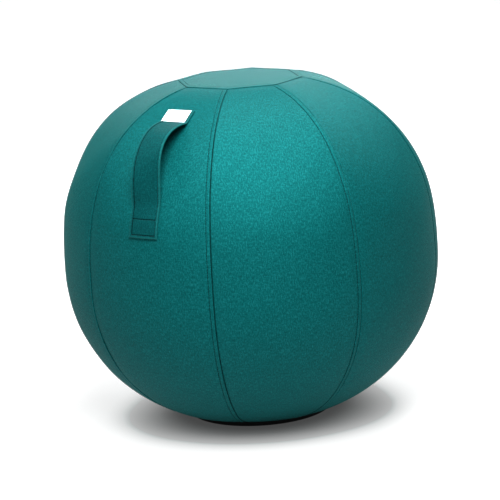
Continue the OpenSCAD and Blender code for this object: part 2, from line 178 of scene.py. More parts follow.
# %% [markdown]
# The cover is a melange upholstery fabric: a plain weave of polyester yarns, each spun from
# fibres of several shades. To the eye it is a fine speckle of light and dark teal with short
# streaks along the threads. A picture of cloth could be wrapped round the ball, but it would
# blur from close up. So the weave is worked out in millimetres from a UV map that is laid on
# each panel before it is bent. The real threads are about 0.8 mm apart, less than a pixel of
# the picture, so they are drawn 1.6 mm apart, and the flecks as large as they read.
# Polyester yarn has a satin glow in its own colour. The metallic share gives that, and a
# little sheen lights the standing fibre ends where one looks along the cloth. The gloss is
# tinted a greyish teal, which keeps the brightest part from turning white. A real fibre is no
# metal, but the glow is much the same.

# %% The weave
THREAD_MM = 1.6
YARN_MM = 9.0
FLECK_MM = (2.1, 4.2)
CLOUD_MM = (22.0, 30.0)
YARN_SHARE, FLECK_SHARE, CLOUD_SHARE = 0.4, 0.54, 0.06
PILLOW_HIGH, FLECK_HIGH = 0.5, 0.6


def weave(tree):
    """The tone of the yarns, about 0.5 on average, and the height of the weave"""
    u, v = cloth_mm(tree)
    over_u = calc(tree, "SINE", calc(tree, "MULTIPLY", u, math.pi / THREAD_MM))
    over_v = calc(tree, "SINE", calc(tree, "MULTIPLY", v, math.pi / THREAD_MM))
    crossing = calc(tree, "MULTIPLY", over_u, over_v)
    warp = mottle(tree, u, v, THREAD_MM, YARN_MM)
    weft = mottle(tree, u, v, YARN_MM, THREAD_MM, at=7.0)
    is_warp = calc(tree, "GREATER_THAN", crossing, 0.0)
    yarn = add(tree, "ShaderNodeMix", {"Factor": is_warp, 2: weft, 3: warp}).outputs[0]
    fleck = mottle(tree, u, v, *FLECK_MM, detail=3.0, rough=0.6, at=3.0)
    cloud = mottle(tree, u, v, *CLOUD_MM, at=11.0)
    tone = calc(tree, "MULTIPLY", yarn, YARN_SHARE)
    tone = calc(tree, "ADD", tone, calc(tree, "MULTIPLY", fleck, FLECK_SHARE))
    tone = calc(tree, "ADD", tone, calc(tree, "MULTIPLY", cloud, CLOUD_SHARE))
    pillow = calc(tree, "MULTIPLY", calc(tree, "ABSOLUTE", crossing), PILLOW_HIGH)
    return tone, calc(tree, "ADD", pillow, calc(tree, "MULTIPLY", fleck, FLECK_HIGH))


# %% Fabric
TONE_HALF, CONTRAST = 0.17, 1.05
TONE_SPREAD = TONE_HALF / CONTRAST
# The colour of the painted highlight on the strap's folded edges
EDGE_HIGHLIGHT_COLOUR = "#3fb5b0"
# The colour of the shade painted into creases and along stitches
PAINTED_SHADE_COLOUR = "#001416"
WEAVE_BUMP, WEAVE_DEEP = 0.9, 0.5 * MM


def woven(name, shades):
    """Melange fabric, from its dark, middle and light yarn colours"""
    made, tree, surface = new_material(name, **{
        "Roughness": 0.58, "Metallic": 0.5, "Specular IOR Level": 0.34,
        "Specular Tint": linear("#96a6a6"), "Sheen Weight": 0.11, "Sheen Roughness": 0.35,
        "Sheen Tint": linear("#48ccc4")})
    tone, height = weave(tree)
    spread = add(tree, "ShaderNodeMapRange", {
        "Value": tone, "From Min": 0.5 - TONE_SPREAD, "From Max": 0.5 + TONE_SPREAD})
    ramp = add(tree, "ShaderNodeValToRGB", {"Fac": spread.outputs[0]})
    ramp.color_ramp.elements[0].color = linear(shades[0])
    ramp.color_ramp.elements[1].color = linear(shades[2])
    ramp.color_ramp.elements.new(0.5).color = linear(shades[1])
    # deep paints shade into creases and along stitches, and below 0 a highlight on the strap's edges
    deep = add(tree, "ShaderNodeAttribute", attribute_name="deep").outputs["Fac"]
    edge_highlight = mixed(tree, calc(tree, "MULTIPLY", deep, -1.0), ramp.outputs[0], linear(EDGE_HIGHLIGHT_COLOUR))
    shade = mixed(tree, deep, edge_highlight, linear(PAINTED_SHADE_COLOUR))
    coat(tree, surface, shade, height, WEAVE_BUMP, WEAVE_DEEP)
    return made


COVER_SHADES = ("#004c4d", "#006465", "#188587")
cover_cloth = woven("melange_polyester", COVER_SHADES)
print("cover fabric:", THREAD_MM, "mm threads")

# %% [markdown]
# The other materials are simple ones. Sewing thread is a tight, dull twist, darker than the
# cloth. The base is a grained, matt faux leather: PU on a knitted backing. The label is white
# satin. The zip has acetal teeth, a woven tape and a nickel plated zinc slider. The inner ball
# is soft PVC with a valve of harder, glossy plastic, and the hoop in the base is drawn steel.
# Each has one colour, broken up by a fine grain or by ribs, as no real surface is quite even.

# %% Other materials
GRAINS_ACROSS_CLOUD = 9.0
GRAIN_DEEP, GRAIN_PALER = 0.3, 1.25
RIB_BUMP, RIB_DEEP, RIB_PALER = 0.4, 0.2 * MM, 1.5


def grained(name, colour, grain_mm, bump, **shader):
    """A moulded, coated or drawn surface: one colour, broken up by a grain of that size"""
    made, tree, surface = new_material(name, **shader)
    place = add(tree, "ShaderNodeTexCoord").outputs["Object"]
    size = 1.0 / (grain_mm * MM)
    grain = add(tree, "ShaderNodeTexVoronoi", {"Vector": place, "Scale": size}).outputs["Distance"]
    cloud = add(tree, "ShaderNodeTexNoise", {"Vector": place, "Scale": size / GRAINS_ACROSS_CLOUD})
    tone = mixed(tree, cloud.outputs[0], linear(colour), brighter(colour, GRAIN_PALER))
    coat(tree, surface, tone, grain, bump, grain_mm * MM * GRAIN_DEEP)
    return made


def taped(name, colour, rib_mm, sheen=0.2, shine=0.3):
    """Narrow woven tape or thread: ribs across it, rib_mm apart"""
    made, tree, surface = new_material(name, **{
        "Roughness": 0.8, "Sheen Weight": sheen, "Specular IOR Level": shine})
    u, v = cloth_mm(tree)
    rib = calc(tree, "SINE", calc(tree, "MULTIPLY", v, 2 * math.pi / rib_mm))
    warp = calc(tree, "SINE", calc(tree, "MULTIPLY", u, 2 * math.pi / rib_mm))
    fleck = mottle(tree, u, v, rib_mm, 3 * rib_mm)
    tone = mixed(tree, fleck, linear(colour), brighter(colour, RIB_PALER))
    coat(tree, surface, tone, calc(tree, "MULTIPLY", rib, warp), RIB_BUMP, RIB_DEEP)
    return made


thread = taped("polyester_thread", "#011c1e", 0.9, sheen=0.0, shine=0.05)
satin = taped("white_satin", "#dfe3e4", 0.7)
zip_cloth = taped("woven_zip_tape", "#0a3436", 1.0)
leather = grained("faux_leather", "#0b0d0f", 1.6, 0.5, **{"Roughness": 0.62, "Specular IOR Level": 0.35})
acetal = grained("moulded_acetal", "#0c0e10", 0.6, 0.1, Roughness=0.35)
nickel = grained("nickel_plate", "#a9abaf", 0.5, 0.1, Roughness=0.28, Metallic=1.0)
steel = grained("drawn_steel", "#8b8e92", 0.8, 0.2, Roughness=0.4, Metallic=1.0)
vinyl = grained("soft_vinyl", "#7d8388", 1.2, 0.2, Roughness=0.5)
valve_plastic = grained("moulded_valve_plastic", "#e6e4dd", 0.8, 0.1, Roughness=0.35)

FINISH = {
    "base_panel": leather, "hoop_sleeve": leather, "base_hoop": steel,
    "zip_teeth_left": acetal, "zip_teeth_right": acetal,
    "zip_top_stops": acetal, "zip_bottom_stop": acetal,
    "zip_slider": nickel, "zip_pull": nickel,
    "inner_ball": vinyl, "valve_seat": valve_plastic, "valve_plug": valve_plastic,
}
for node, finish in FINISH.items():
    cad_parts[node].data.materials.clear()
    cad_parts[node].data.materials.append(finish)
print("finished nodes:", len(FINISH))

# %% [markdown]
# A sewn ball is a solid of eight equal panels. Its seams run down from the cap's corners to
# the base along one curve: a full crown, then an arc, then a tuck under the ball. Near the
# cap the fabric is tight, so the panels are flat across, and further down they are round.
# The curve could be drawn by hand as a spline. Here it is the same formula as the solids',
# so that the cloth lies where they are.

# %% The curve of a seam
BALL_R = 325.0 * MM
CROWN_H = 324.0 * MM
CROWN_FULL = 2.55
LOW_ARC_R = 275.0 * MM
FOOT = np.array((149.5, 15.8)) * MM
HOOP_TOP = np.array((124.37, 11.71)) * MM
TUCK_REACH = 11.0 * MM
CAP_R = 109.8 * MM
ROUND_FROM = 95.0 * MM
PANELS = 8
HALF = math.pi / PANELS
ARC_C = BALL_R - LOW_ARC_R
FOOT_A = math.acos((FOOT[0] - ARC_C) / LOW_ARC_R)
CAP_T = math.asin((CAP_R / BALL_R) ** (CROWN_FULL / 2))
CROWN_POINTS, ARC_POINTS, TUCK_POINTS = 900, 500, 80
CURVE_STEP = 0.5 * MM


def crown(t):
    """Radius and height on the crown, t from 0 on the axis to a right angle at the girth"""
    power = 2 / CROWN_FULL
    return BALL_R * np.sin(t) ** power, GIRTH_Z + CROWN_H * np.clip(np.cos(t), 0, 1) ** power


def seam_curve():
    """Length, radius, height and outward normal down a seam, one row per step"""
    r, z = crown(np.linspace(CAP_T, math.pi / 2, CROWN_POINTS))
    a = np.linspace(0, FOOT_A, ARC_POINTS)[1:]
    r = np.append(r, ARC_C + LOW_ARC_R * np.cos(a))
    z = np.append(z, GIRTH_Z - LOW_ARC_R * np.sin(a))
    bend = FOOT + TUCK_REACH * np.array((-math.sin(FOOT_A), -math.cos(FOOT_A)))
    t = np.linspace(0, 1, TUCK_POINTS)[1:, None]
    tuck = (1 - t) ** 2 * FOOT + 2 * t * (1 - t) * bend + t ** 2 * HOOP_TOP
    r, z = np.append(r, tuck[:, 0]), np.append(z, tuck[:, 1])
    run = np.append(0, np.cumsum(np.hypot(np.diff(r), np.diff(z))))
    even = np.arange(0, run[-1], CURVE_STEP)
    r, z = np.interp(even, run, r), np.interp(even, run, z)
    dr, dz = np.gradient(r), np.gradient(z)
    size = np.hypot(dr, dz)
    return even, r, z, -dz / size, dr / size


RUN, RUN_R, RUN_Z, RUN_NR, RUN_NZ = seam_curve()
SEAM_LEN = RUN[-1]
CAP_Z = RUN_Z[0]
print("seam:", round(SEAM_LEN / MM), "mm long, cap at", round(CAP_Z / MM, 1), "mm")

# %% Places on the cover


def ease(x):
    """0 below 0, 1 above 1, and a smooth step between"""
    x = np.clip(x, 0, 1)
    return x * x * (3 - 2 * x)


def flatness(z):
    """1 at the cap, where a panel is flat across, and 0 where it is round"""
    return ease((z - GIRTH_Z - ROUND_FROM) / (CAP_Z - GIRTH_Z - ROUND_FROM))


def on_cover(s, a, lift, turn):
    """Points s down a seam, at angle a from the middle of the panel at that turn, lifted off it"""
    r, z, nr, nz = (np.interp(s, RUN, part) for part in (RUN_R, RUN_Z, RUN_NR, RUN_NZ))
    out = r * (1 + flatness(z) * (math.cos(HALF) / np.cos(a) - 1)) + nr * lift
    return np.stack((out * np.cos(a + turn), out * np.sin(a + turn), z + nz * lift), -1)


# %% [markdown]
# Each seam is sewn inside out, turned, and topstitched: the seam allowances are folded under
# the panel on its left, seen from outside, and a row of stitches 7 mm from the seam holds
# them. So one edge of each panel is a raised strip between the seam and the stitches, and
# the other edge simply rolls down into the seam. A normal map could fake this. Real
# geometry is better here, because the seams are the main detail and cast real shadows.

# %% How the fabric rises and dips near a seam
STRIP_W = 7.0 * MM
STRIP_UP = 0.75 * MM
SEAM_DEEP = 2.4 * MM
PLAIN_ROLL = 2.6 * MM
STRIP_ROLL = 2.0 * MM
STITCH_DIP = 0.8 * MM
STITCH_HALF = 1.1 * MM
PULL_IN = 0.8 * MM
PULL_REACH = 20.0 * MM
FOLD_SHARE = 0.45


def roll_down(d, reach):
    """Depth of a rounded edge that turns straight down at d = 0"""
    x = np.clip(1 - d / reach, 0, 1)
    return SEAM_DEEP * (1 - np.sqrt(1 - x * x))


def plain_edge(d, fold=0.0):
    """Lift of a plain edge, d from the seam; fold is 1 where the edge is folded over a zip tape"""
    rolled = roll_down(d, PLAIN_ROLL) * (1 - fold * FOLD_SHARE)
    return -rolled - PULL_IN * (1 - fold) * ease(1 - d / PULL_REACH)


def strip_edge(d, fold=0.0):
    """Lift of a topstitched edge: the strip, the line of stitches, then the panel"""
    raised = STRIP_UP * ease((STRIP_W + STITCH_HALF - d) / (2 * STITCH_HALF)) * (1 - fold)
    dip = STITCH_DIP * ease(1 - np.abs(d - STRIP_W) / STITCH_HALF)
    rolled = roll_down(d, STRIP_ROLL) * (1 - fold * FOLD_SHARE)
    return raised - dip - rolled - PULL_IN * (1 - fold) * ease(1 - d / PULL_REACH)


# %% [markdown]
# Hand guided sewing is never quite even. Two kinds of unevenness are added from seeded sine
# waves, so that each run gives the same ones: the whole panel wanders a little off its true
# curve, and beside a seam the thread's pull leaves small gathers. Both panels at a seam take
# its seed, so that they have the same gathers there. The waves' lengths are in metres.

# %% Slack and gathers
WANDER, WANDER_WAVES, WANDER_START = 0.4 * MM, (0.13, 0.21), 50.0 * MM
GATHER, GATHER_WAVES = 0.35 * MM, (0.0125, 0.019, 0.031)
GATHER_REACH, GATHER_START = 11.0 * MM, 3.0 * MM
SWELL, SWELL_WAVES = 0.45, (0.19, 0.33)
SEAM_SEED, SWELL_SEED = 100, 50


def wave(s, lengths, seed):
    """A smooth wander made of sine waves of those lengths, repeatable from its seed"""
    phases = np.random.default_rng(seed).uniform(0, 2 * math.pi, len(lengths))
    return sum(np.sin(2 * math.pi * s / w + p) for w, p in zip(lengths, phases)) / len(lengths)


def loose(s, across, k):
    """The slight wander of a tight panel off its true curve"""
    return WANDER * wave(s + across, WANDER_WAVES, k) * ease(s / WANDER_START)


def pucker(s, d, seed):
    """Small gathers that the thread's pull leaves beside a seam"""
    size = GATHER * (1 - SWELL + SWELL * wave(s, SWELL_WAVES, seed + SWELL_SEED))
    return size * wave(s, GATHER_WAVES, seed) * np.exp(-d / GATHER_REACH) * ease(d / GATHER_START)


def seam_seed(k, from_low):
    """The seed of the seam on one side of panel k, the same for both panels that meet there"""
    return SEAM_SEED + (k if from_low else k % PANELS + 1)


# %% [markdown]
# The zip holds the two edges of one rear seam apart. There the edges are folded back over
# the tapes, thinner than the rest, with a row of stitches close to the fold.

# %% Where the zip opens the seam
ZIP_FROM = 26.0 * MM
ZIP_LEN = 224.0 * MM
ZIP_EDGE = 7.6 * MM
ZIP_RAMP = math.radians(2)
ZIP_A0 = ZIP_FROM / LOW_ARC_R
ZIP_A1 = ZIP_A0 + ZIP_LEN / LOW_ARC_R
ZIP_PANEL = 5
FIRST_TURN = -math.pi / 2
ZIP_TURN = FIRST_TURN + (2 * ZIP_PANEL - 1) * HALF
GIRTH_RUN = float(np.interp(-GIRTH_Z, -RUN_Z, RUN))


def zip_open(s, edge_turn):
    """How far the seam at that turn is held open, from 0 to 1, s down it: only one has a zip"""
    if abs(edge_turn - ZIP_TURN) > HALF:
        return 0 * s
    a = (s - GIRTH_RUN) / LOW_ARC_R
    return np.clip(np.minimum(a - ZIP_A0 + ZIP_RAMP, ZIP_A1 + ZIP_RAMP - a) / ZIP_RAMP, 0, 1)


print("zip:", round(ZIP_LEN / MM), "mm long, from", round(ZIP_FROM / MM), "mm below the girth")

# %% [markdown]
# A panel is a grid. Its columns crowd together at the edges, where the form changes within
# a millimetre, and are wide apart in the middle. Its rows do the same below the cap. The
# grid is doubled and closed round its rim, so that the panel is a real sheet with a thickness.
# A value called deep goes with each point. Above 0, in a crease or on a line of stitches, it
# paints shade into the cloth's colour; below 0, on the strap's folded edges, a highlight.

# %% A sheet from a grid of points
SHEET_T = 1.4 * MM
FOLD_T = 0.5 * MM
FOLD_REACH = 9.0 * MM


def closed_grid(name, outer, inner, flat, material, deep=None, ring=False):
    """A closed sheet between two grids of points, with a UV map in metres along the cloth"""
    n, m = outer.shape[:2]
    number = np.arange(n * m).reshape(n, m)
    corners = (number[:-1, :-1], number[1:, :-1], number[1:, 1:], number[:-1, 1:])
    a, b, c, d = (corner.ravel() for corner in corners)
    top = np.stack((a, b, c, d), -1)
    low = np.stack((a, d, c, b), -1) + n * m
    rim = np.concatenate((number[0], number[1:, -1], number[-1, -2::-1], number[-2:0:-1, 0]))
    after = np.roll(rim, -1)
    if ring:
        rim, after = number[0, :-1], number[0, 1:]
    wall = np.stack((rim, after, after + n * m, rim + n * m), -1)
    faces = np.concatenate((top, low, wall))
    points = np.concatenate((outer.reshape(-1, 3), inner.reshape(-1, 3)))
    mesh = bpy.data.meshes.new(name)
    mesh.from_pydata(points.tolist(), [], faces.tolist())
    uv = mesh.uv_layers.new(name="cloth")
    both = np.concatenate((flat.reshape(-1, 2), flat.reshape(-1, 2)))
    uv.data.foreach_set("uv", both[faces.ravel()].ravel())
    shade = mesh.attributes.new("deep", "FLOAT", "POINT")
    values = np.zeros((n, m)) if deep is None else deep
    shade.data.foreach_set("value", np.concatenate((values.ravel(), values.ravel())))
    mesh.polygons.foreach_set("use_smooth", np.arange(len(faces)) < len(faces) - len(wall))
    mesh.materials.append(material)
    mesh.validate()
    mesh.update()
    made = bpy.data.objects.new(name, mesh)
    bpy.context.scene.collection.objects.link(made)
    return made


def outer_area(outer):
    """The area of a grid of points"""
    side, down = outer[:-1, 1:] - outer[:-1, :-1], outer[1:, :-1] - outer[:-1, :-1]
    return float(np.linalg.norm(np.cross(side, down), axis=-1).sum())


# %% The eight panels
NEAR_EDGE = (0, .4, .9, 1.5, 2.2)
STRIP_COLS = np.array(NEAR_EDGE + (3.2, 4.4, 5.4, 6.1, 6.6, 7, 7.4, 7.9, 8.6, 10, 12.5, 16, 21)) * MM
PLAIN_COLS = np.array(NEAR_EDGE + (3.1, 4.4, 6.2, 8.6, 12, 16, 21)) * MM
TOP_ROWS = np.array(NEAR_EDGE + (3.1, 4.4, 6.2)) * MM
MIDDLE_COLS = 16
EVEN_FROM, ROW_STEP = 8.4 * MM, 2.5 * MM
rows = np.append(TOP_ROWS, np.linspace(EVEN_FROM, SEAM_LEN, round(SEAM_LEN / ROW_STEP)))
CREASE = 1.2 * MM
# How strongly shade is painted into a seam's crease and into the dip along its stitches
CREASE_SHADE, STITCH_SHADE = 0.74, 0.518


def panel(k):
    """Panel k, counted from the handle's panel towards the ball's right"""
    turn = FIRST_TURN + (k - 1) * 2 * HALF
    s = rows[:, None]
    radius = np.interp(s, RUN, RUN_R)
    open_low, open_high = zip_open(s, turn - HALF), zip_open(s, turn + HALF)
    low_end = -HALF + (ZIP_EDGE * open_low) / radius
    high_end = HALF - (ZIP_EDGE * open_high) / radius
    from_low = low_end + PLAIN_COLS / radius
    from_high = high_end - STRIP_COLS[::-1] / radius
    share = np.linspace(0, 1, MIDDLE_COLS + 2)[1:-1]
    middle = from_low[:, -1:] + (from_high[:, :1] - from_low[:, -1:]) * share
    a = np.concatenate((from_low, middle, from_high), 1)
    d_low, d_high = (a - low_end) * radius, (high_end - a) * radius
    low_lift = plain_edge(d_low, open_low) + pucker(s, d_low, seam_seed(k, True))
    high_lift = strip_edge(d_high, open_high) + pucker(s, d_high, seam_seed(k, False))
    is_low = d_low < d_high
    lift = np.where(is_low, low_lift, high_lift)
    lift = np.minimum(lift, plain_edge(s)) + loose(s, a * radius, k)
    outer = on_cover(s, a, lift, turn)
    edge = np.minimum(d_low, d_high)
    folded = np.where(is_low, open_low, open_high) * ease(1 - edge / FOLD_REACH)
    thick = SHEET_T + (FOLD_T - SHEET_T) * folded
    inner = on_cover(s, a, np.minimum(lift - thick, -thick), turn)
    # Painted shade in the seam's crease and in the dip along the stitches
    crease = np.maximum(ease(1 - edge / CREASE), ease(1 - s / CREASE) + 0 * a)
    sewn_line = ease(1 - np.abs(d_high - STRIP_W) / STITCH_HALF)
    deep = np.maximum(CREASE_SHADE * crease, STITCH_SHADE * sewn_line)
    flat = np.stack((a * radius, s + 0 * a), -1)
    made = closed_grid("panel_%d" % k, outer, inner, flat, cover_cloth, deep)
    wide, area = float(2 * HALF * BALL_R), outer_area(outer)
    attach(made, "cover")
    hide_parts("gore_%d" % k)
    return made, area


for k in range(1, PANELS + 1):
    made, area = panel(k)
    print(made.name, len(made.data.polygons), "faces,", round(area, 4), "m2 of fabric")

# %% [markdown]
# The cap is an octagon of the same fabric, a little domed, sewn to the panels' upper ends.
# Its allowance is folded under itself, so here the raised strip runs round the cap's edge.
# It could be cut from a square grid, but its edge needs points much closer together than its
# middle. So it is made of rings that shrink to one point, and the points that meet there are
# joined.

# %% The cap
CAP_UP = 3.0 * MM
CAP_COLS = 18
CAP_EVEN_FROM, CAP_EVEN_RINGS = 26.0 * MM, 26
CAP_INSETS = np.concatenate((STRIP_COLS, np.linspace(CAP_EVEN_FROM, CAP_R, CAP_EVEN_RINGS)))
CAP_RIPPLE, CAP_RIPPLE_REACH = 0.25 * MM, 20.0 * MM
CAP_WAVES, CAP_SEED = (2 * math.pi / 5, 2 * math.pi / 11), 5
# How strongly shade is painted into the cap's crease and along its stitches
CAP_CREASE_SHADE, CAP_STITCH_SHADE = 0.85, 0.51
WELD_GAP = 0.001 * MM


def weld(made):
    """Joins points that lie in one place, and drops faces that this makes flat"""
    work = bmesh.new()
    work.from_mesh(made.data)
    bmesh.ops.remove_doubles(work, verts=work.verts, dist=WELD_GAP)
    bmesh.ops.dissolve_degenerate(work, edges=work.edges, dist=WELD_GAP)
    work.to_mesh(made.data)
    work.free()


def cap():
    """The octagonal cap as rings that shrink from its edge to its middle"""
    edge = CAP_R * math.cos(HALF)
    inset = np.minimum(CAP_INSETS, edge)[:, None]
    steps = np.linspace(-HALF, HALF, CAP_COLS + 1)[:-1]
    a = np.concatenate([FIRST_TURN + k * 2 * HALF + steps for k in range(PANELS)] + [[FIRST_TURN - HALF]])
    a[-1] += 2 * math.pi
    local = (a - FIRST_TURN + HALF) % (2 * HALF) - HALF
    share = np.clip(1 - inset / edge, 0, 1)
    r = edge / np.cos(local) * share
    ripple = CAP_RIPPLE * wave(a[None, :], CAP_WAVES, CAP_SEED) * ease(1 - inset / CAP_RIPPLE_REACH)
    dome = CAP_Z + CAP_UP * (1 - share ** 2) + 0 * r
    z = dome + strip_edge(inset) + ripple
    outer = np.stack((r * np.cos(a), r * np.sin(a), z), -1)[:, ::-1]
    inner = outer - np.array((0, 0, SHEET_T))
    inner[..., 2] = np.minimum(inner[..., 2], dome - SHEET_T)
    # Painted shade in the cap's crease and in the dip along its stitches
    crease, sewn_line = ease(1 - inset / CREASE), ease(1 - np.abs(inset - STRIP_W) / STITCH_HALF)
    deep = np.maximum(CAP_CREASE_SHADE * crease, CAP_STITCH_SHADE * sewn_line) + 0 * r
    made = closed_grid("cap", outer, inner, outer[..., :2], cover_cloth, deep, ring=True)
    weld(made)
    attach(made, "cover")
    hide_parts("top_cap")
    area = PANELS * edge * edge * math.tan(HALF)
    return made, area


made, area = cap()
print("cap:", len(made.data.polygons), "faces,", round(area, 4), "m2")

# %% [markdown]
# The topstitching is real thread. Each stitch is a short capsule that arches out of one
# hole and into the next. A dashed line in the texture would be cheaper, but it would stay
# flat in a raking light. A stitch is 4 mm long and 0.5 mm thick on the real cover. Here it is
# drawn 0.9 mm thick, so that a picture of the whole ball still shows it.

# %% Stitches
STITCH_PITCH = 4.6 * MM
STITCH_LEN = 3.7 * MM
THREAD_R = 0.45 * MM
STATIONS = np.linspace(-0.5, 0.5, 5)
STATION_R = np.array((0.5, 1.0, 1.1, 1.0, 0.5))
STATION_UP = np.array((-0.9, 0.1, 0.45, 0.1, -0.9))
SIDES = 6


def stitch_row(path, normals):
    """Points and faces of stitches along a path that lies on the cloth"""
    run = np.append(0, np.cumsum(np.linalg.norm(np.diff(path, axis=0), axis=1)))
    count = max(int(run[-1] / STITCH_PITCH), 1)
    middle = (np.arange(count) + 0.5) * run[-1] / count
    at = middle[:, None] + STATIONS * STITCH_LEN
    place = np.stack([np.interp(at, run, path[:, i]) for i in range(3)], -1)
    up = np.stack([np.interp(at, run, normals[:, i]) for i in range(3)], -1)
    along = np.gradient(place, axis=1)
    along /= np.linalg.norm(along, axis=-1, keepdims=True)
    side = np.cross(up, along)
    turn = np.arange(SIDES) * 2 * math.pi / SIDES
    place = place + up * (THREAD_R * STATION_UP)[None, :, None]
    spoke = side[:, :, None] * np.cos(turn)[:, None] + up[:, :, None] * np.sin(turn)[:, None]
    points = place[:, :, None] + spoke * (THREAD_R * STATION_R)[None, :, None, None]
    rings, ring = len(STATIONS), np.arange(SIDES)
    faces = []
    for k in range(rings - 1):
        a, b = k * SIDES + ring, k * SIDES + (ring + 1) % SIDES
        faces += np.stack((a, b, b + SIDES, a + SIDES), -1).tolist()
    ends = [ring[::-1].tolist(), ((rings - 1) * SIDES + ring).tolist()]
    each = rings * SIDES
    all_faces = [[i + n * each for i in face] for n in range(count) for face in faces + ends]
    return points.reshape(-1, 3), all_faces


def sewn(name, rows_of_stitches, body="cover"):
    """One piece from several rows of stitches"""
    points, faces = [], []
    for path, normals in rows_of_stitches:
        new_points, new_faces = stitch_row(path, normals)
        faces += [[i + len(points) for i in face] for face in new_faces]
        points += new_points.tolist()
    mesh = bpy.data.meshes.new(name)
    mesh.from_pydata(points, [], faces)
    uv = mesh.uv_layers.new(name="cloth")
    loops = np.array([i for face in faces for i in face])
    spot = np.array(points)[loops]
    uv.data.foreach_set("uv", np.stack((spot[:, 0] + spot[:, 1], spot[:, 2]), -1).ravel())
    mesh.polygons.foreach_set("use_smooth", np.ones(len(faces), bool))
    mesh.materials.append(thread)
    mesh.update()
    made = bpy.data.objects.new(name, mesh)
    bpy.context.scene.collection.objects.link(made)
    if body:
        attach(made, body)
    return made


# %% The rows of stitches on the cover
ROW_START, ROW_STOP = 5.0 * MM, 3.0 * MM
ZIP_STITCH, ZIP_SPARE = 2.6 * MM, 6.0 * MM
CAP_SIDE_POINTS, ZIP_POINTS = 60, 300


def with_normals(place, s):
    """A path from a function of s and of a lift, and the cloth's normal along it"""
    path = place(s, 0.0)
    up = place(s, MM) - path
    return path, up / np.linalg.norm(up, axis=-1, keepdims=True)


def panel_row(k, d, from_low=False, s=None):
    """The path of stitches that stay d from one edge of panel k"""
    turn = FIRST_TURN + (k - 1) * 2 * HALF
    s = np.arange(ROW_START, SEAM_LEN - ROW_STOP, MM) if s is None else s
    opened = zip_open(s, turn - HALF if from_low else turn + HALF)
    radius = np.interp(s, RUN, RUN_R)
    a = HALF - (d + ZIP_EDGE * opened) / radius
    a = -a if from_low else a
    edge = plain_edge if from_low else strip_edge
    lift = edge(d + 0 * s, opened) + pucker(s, d, seam_seed(k, from_low)) + loose(s, a * radius, k)
    return with_normals(lambda s, more: on_cover(s, a, lift + more, turn), s)


def cap_row():
    """The path of the stitches round the cap"""
    edge = CAP_R * math.cos(HALF)
    inside = edge - STRIP_W
    local = np.linspace(-HALF, HALF, CAP_SIDE_POINTS)[:-1]
    a = np.concatenate([FIRST_TURN + k * 2 * HALF + local for k in range(PANELS)])
    r = inside / np.cos(np.tile(local, PANELS))
    z = CAP_Z + CAP_UP * (1 - (inside / edge) ** 2) + strip_edge(STRIP_W) + 0 * a
    path = np.stack((r * np.cos(a), r * np.sin(a), z), -1)
    path = np.concatenate((path, path[:1]))
    return path, np.tile((0.0, 0.0, 1.0), (len(path), 1))


for k in range(1, PANELS + 1):
    sewn("topstitching_%d" % k, [panel_row(k, STRIP_W)])
zip_s = GIRTH_RUN + np.linspace(ZIP_FROM - ZIP_SPARE, ZIP_FROM + ZIP_LEN + ZIP_SPARE, ZIP_POINTS)
zip_rows = [
    panel_row(ZIP_PANEL + 1, ZIP_STITCH, True, zip_s),
    panel_row(ZIP_PANEL, ZIP_STITCH, False, zip_s)]
sewn("zip_topstitching", zip_rows)
sewn("cap_topstitching", [cap_row()])
print("stitches: rows on", PANELS, "panels, the zip and the cap")

# %% [markdown]
# The handle is a strap of the cover's own fabric: a strip folded in on both sides and
# stitched 5.2 mm inside its edges, so the edges are round and a little thicker. Its upper end
# is sewn under the label. It bows off the panel, steeply at first, leans a little to one side
# and twists, as a loose strap does, and ends in a stitched box. The photo shows the box's
# cross seam and the strap's end lower than on the solid, so they have their own values.
# The strap swings a little between its ends. It is made as two halves that meet in the
# middle.

# %% The line of the strap
STRAP_W = 55.0 * MM
STRAP_T = 2.4 * MM
STRAP_GAP = 0.3 * MM
STRAP_TOP = 80.0 * MM
STRAP_HELD = 108.0 * MM
STRAP_BOX = 271.0 * MM
STRAP_SEWN = 289.5 * MM
STRAP_END = 321.0 * MM
STRAP_RISE = 30.0 * MM
BOW_START, BOW_FINISH = 1.2, 1.7
MEET = 190.0 * MM
LEAN_AT, LEAN = 2.5 * MM, 0.021
TWIST, TWIST_LATE = math.radians(7), 1.33
FREE_FROM = 6.0 * MM
MID_R = RUN_R * (1 + flatness(RUN_Z) * (math.cos(HALF) - 1))
MID_RUN = np.append(0, np.cumsum(np.hypot(np.diff(MID_R), np.diff(RUN_Z))))


def bow_share(s):
    """0 where the bow leaves the panel and 1 where it is back, s down the panel's middle"""
    return np.clip((s - STRAP_HELD) / (STRAP_BOX - STRAP_HELD), 0, 1)


def strap_rise(s):
    """Rise of the strap off the panel"""
    u, top = bow_share(s), BOW_START / (BOW_START + BOW_FINISH)
    return STRAP_RISE * (u / top) ** BOW_START * ((1 - u) / (1 - top)) ** BOW_FINISH


def on_strap(s, x, h):
    """A point of the strap: s down the panel, x to the right and h above the panel"""
    seam = np.interp(s, MID_RUN, RUN)
    radius = np.interp(seam, RUN, RUN_R)
    rise = strap_rise(s)
    twist = TWIST * np.sin(2 * math.pi * bow_share(s) ** TWIST_LATE)
    lean = LEAN_AT + LEAN * (s - MEET)
    x, h = lean + x * np.cos(twist) - h * np.sin(twist), rise + x * np.sin(twist) + h * np.cos(twist)
    a = np.arcsin(np.clip(x / radius, -1, 1))
    held = on_cover(seam, a, h + loose(seam, a * radius, 1), FIRST_TURN)
    free = on_cover(seam, 0 * a, h + loose(seam, 0 * a, 1), FIRST_TURN)
    free = np.stack((x + 0 * s, free[..., 1], free[..., 2]), -1)
    share = ease(rise / FREE_FROM)[..., None]
    return held * (1 - share) + free * share


